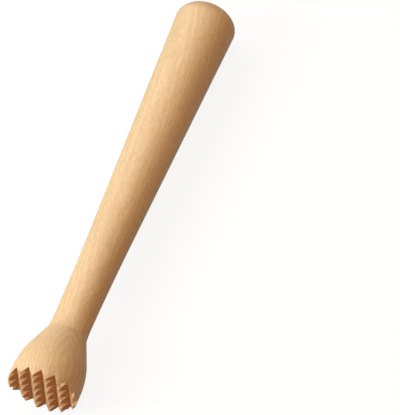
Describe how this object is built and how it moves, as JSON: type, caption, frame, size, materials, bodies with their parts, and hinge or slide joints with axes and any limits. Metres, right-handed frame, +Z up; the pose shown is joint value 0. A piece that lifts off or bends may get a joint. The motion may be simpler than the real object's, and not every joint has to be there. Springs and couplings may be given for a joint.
{
  "type": "kraut stomper",
  "caption": "Turned wooden stomper for pressing shredded cabbage: a tapered handle with a domed end, glued into a flared head whose face is cut into rows of short sharp teeth.",
  "frame": {"origin": "on the floor under the middle of the stomper, which lies on its side on its head's rim and the widest ring of its handle", "axes": "+X along the stomper's length from the toothed head to the domed end of the handle, +Z up"},
  "size_m": [0.3052, 0.047, 0.047],
  "materials": {
    "head_beech": "satin",
    "handle_beech": "satin"
  },
  "bodies": {
    "root": {"head": "head_beech", "handle": "handle_beech"}
  },
  "joints": []
}
